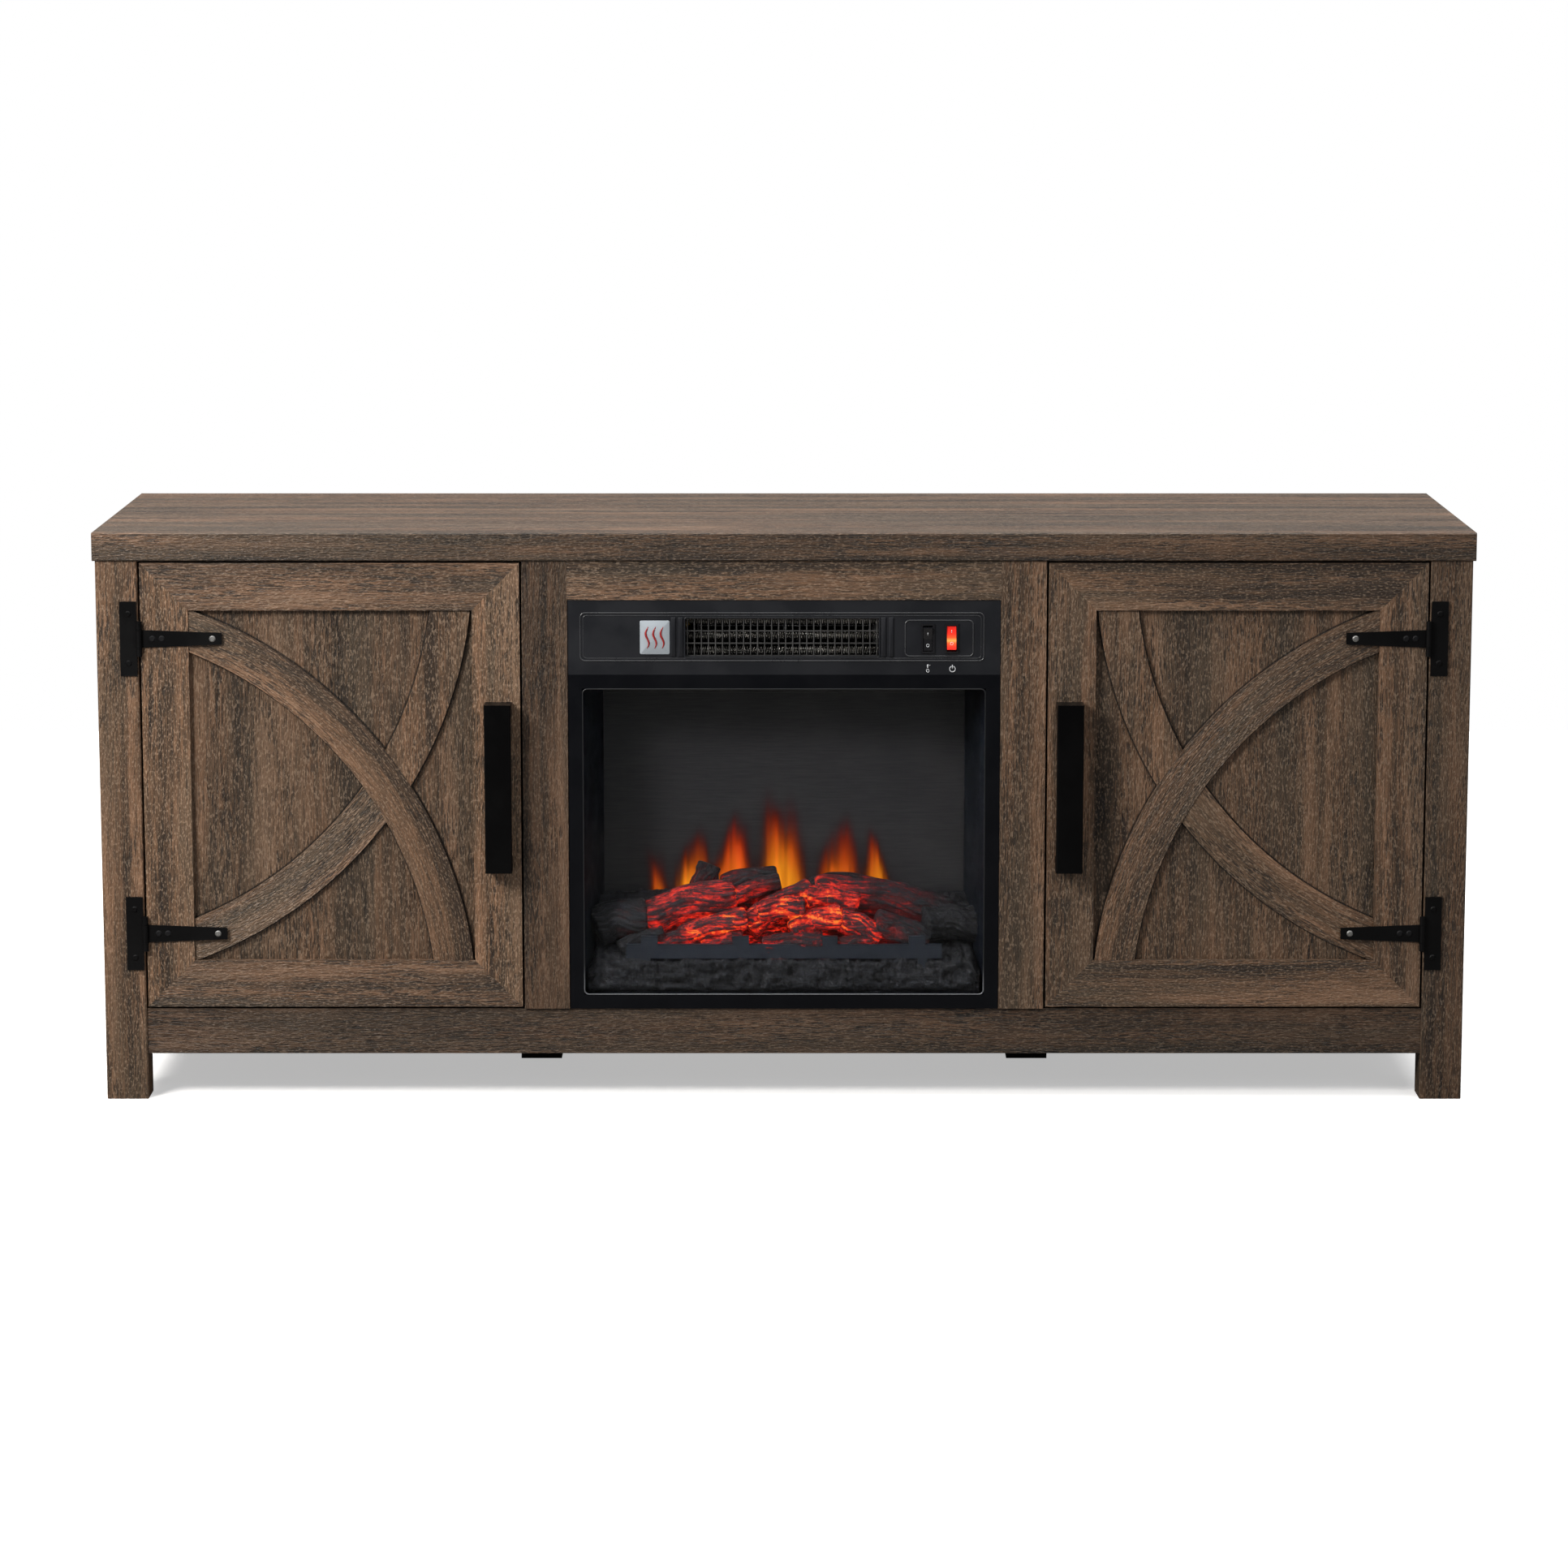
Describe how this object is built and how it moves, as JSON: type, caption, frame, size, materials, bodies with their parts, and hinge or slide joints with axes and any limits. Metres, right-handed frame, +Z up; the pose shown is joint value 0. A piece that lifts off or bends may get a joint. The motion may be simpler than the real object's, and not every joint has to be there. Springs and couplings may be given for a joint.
{
  "type": "electric fireplace TV stand",
  "caption": "Wide low wooden TV stand with braced side doors on strap hinges and an electric fireplace insert with heater outlet and flame window between them.",
  "frame": {"origin": "middle of the footprint on the floor, handles included", "axes": "+Z up, +X to the right seen from the front, the doors and the fire face -Y"},
  "size_m": [1.473, 0.428, 0.617],
  "materials": {
    "wood_slab": "rustic brown laminate, grain along the width",
    "wood_frame": "rustic brown laminate",
    "wood_panel": "rustic brown laminate, upright grain",
    "wood_inside": "brown laminate, smoother inside face",
    "hardboard": "thin brown hardboard",
    "black_iron": "matte black powder coat",
    "zinc_steel": "zinc plated",
    "insert_black": "fine textured black",
    "galvanised": "plain zinc-coated sheet",
    "black_plastic": "black moulded plastic",
    "red_lit_plastic": "lit red rocker",
    "foot_black": "black support foot",
    "window_glass": "clear toughened glass",
    "heating_wire": "bright resistance wire coils on mica",
    "screen_film": "dark translucent flame screen",
    "reflector_foil": "bright foil tabs",
    "motor_steel": "plain steel and black plastic",
    "brass_bush": "sintered bush",
    "board_green": "light board",
    "log_resin": "moulded translucent log set, painted bark and ash"
  },
  "bodies": {
    "root": {"air_duct": "galvanised", "bottom_panel": "wood_inside", "cable_gland": "black_plastic", "center_feet": "foot_black", "control_panel": "insert_black", "door_magnets": "black_plastic", "drive_motors": "motor_steel", "fire_grate": "black_iron", "flame_screen": "screen_film", "glass_frame": "insert_black", "glass_pane": "window_glass", "heater_grille": "black_iron", "heating_element": "heating_wire", "hinge_leaves": "black_iron", "hinge_pins": "black_iron", "insert_housing": "galvanised", "leaf_screws": "black_iron", "left_back_panel": "hardboard", "left_divider": "wood_inside", "left_front_leg": "wood_frame", "left_front_stile": "wood_frame", "left_rear_leg": "wood_frame", "left_shelf": "wood_inside", "left_side_panel": "wood_panel", "light_board": "board_green", "log_set": "log_resin", "lower_front_rail": "wood_frame", "rear_cover": "galvanised", "right_back_panel": "hardboard", "right_divider": "wood_inside", "right_front_leg": "wood_frame", "right_front_stile": "wood_frame", "right_rear_leg": "wood_frame", "right_shelf": "wood_inside", "right_side_panel": "wood_panel", "shaft_bushes": "brass_bush", "shelf_pins": "zinc_steel", "switch_bezels": "black_plastic", "top_panel": "wood_slab", "upper_front_rail": "wood_frame"},
    "left_door": {"left_door_brace": "wood_frame", "left_door_fixings": "black_iron", "left_door_half_braces": "wood_frame", "left_door_panel": "wood_panel", "left_door_rails": "wood_frame", "left_door_stiles": "wood_frame", "left_handle": "black_iron", "left_hinge_straps": "black_iron"},
    "right_door": {"right_door_brace": "wood_frame", "right_door_fixings": "black_iron", "right_door_half_braces": "wood_frame", "right_door_panel": "wood_panel", "right_door_rails": "wood_frame", "right_door_stiles": "wood_frame", "right_handle": "black_iron", "right_hinge_straps": "black_iron"},
    "heat_rocker": {"heat_switch": "black_plastic"},
    "power_rocker": {"power_switch": "red_lit_plastic"},
    "blower": {"blower_wheel": "galvanised"},
    "rotor": {"flame_rotor": "reflector_foil"}
  },
  "joints": [
    {"name": "left_door_hinge", "type": "hinge", "parent": "root", "child": "left_door", "pos_m": [-0.68788, -0.1923, 0.343], "axis": [0, 0, -1], "range_deg": [0, 110]},
    {"name": "right_door_hinge", "type": "hinge", "parent": "root", "child": "right_door", "pos_m": [0.68788, -0.1923, 0.343], "axis": [0, 0, 1], "range_deg": [0, 110]},
    {"name": "heat_switch_rock", "type": "hinge", "parent": "root", "child": "heat_rocker", "pos_m": [0.1535, -0.1852, 0.5035], "axis": [-1, 0, 0], "range_deg": [0, 20]},
    {"name": "power_switch_rock", "type": "hinge", "parent": "root", "child": "power_rocker", "pos_m": [0.179, -0.1852, 0.5035], "axis": [1, 0, 0], "range_deg": [0, 20]},
    {"name": "blower_spin", "type": "hinge", "parent": "root", "child": "blower", "pos_m": [0, -0.07, 0.505], "axis": [1, 0, 0], "continuous": true},
    {"name": "flame_rotor_spin", "type": "hinge", "parent": "root", "child": "rotor", "pos_m": [0, -0.06, 0.17], "axis": [1, 0, 0], "continuous": true}
  ]
}
